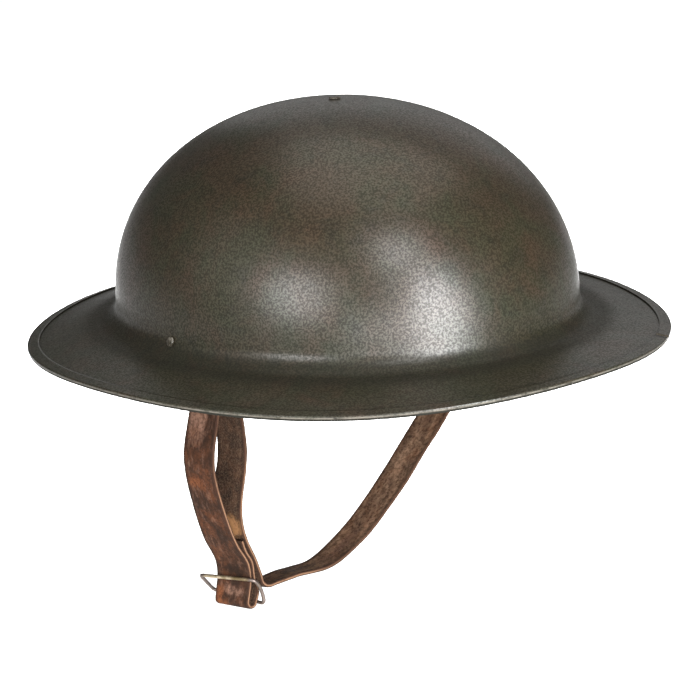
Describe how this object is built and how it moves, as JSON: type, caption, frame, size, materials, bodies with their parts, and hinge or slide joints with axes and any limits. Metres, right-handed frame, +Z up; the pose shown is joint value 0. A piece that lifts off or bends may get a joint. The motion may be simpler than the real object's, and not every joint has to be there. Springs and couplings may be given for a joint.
{
  "type": "brodie helmet",
  "caption": "Broad-brimmed pressed-steel soldier's helmet with a folded rim, crown rivet and buckled leather chin strap, worn on the head.",
  "frame": {"origin": "under the middle of the crown, where the top of the head carries the helmet", "axes": "+Z up along the bowl's axis; -Y is the front of the helmet; the wearer's right, with the buckle, is -X"},
  "size_m": [0.2842, 0.3162, 0.2285],
  "materials": {
    "shell_paint": "worn olive-brown paint with a fine sand grain, satin",
    "rim_paint": "the same paint, rubbed bright along the edge",
    "rivet_paint": "painted steel, worn to metal on top",
    "bail_steel": "dull steel wire and sheet",
    "strap_leather": "aged brown leather with tan cut edges",
    "buckle_brass": "dull aged brass"
  },
  "bodies": {
    "root": {"shell": "shell_paint", "rim": "rim_paint", "crown_rivet": "rivet_paint", "side_rivet_right": "rivet_paint", "side_rivet_left": "rivet_paint", "bail_right": "bail_steel", "bail_left": "bail_steel", "chin_strap": "strap_leather", "buckle": "buckle_brass", "strap_rivet": "buckle_brass"}
  },
  "joints": []
}
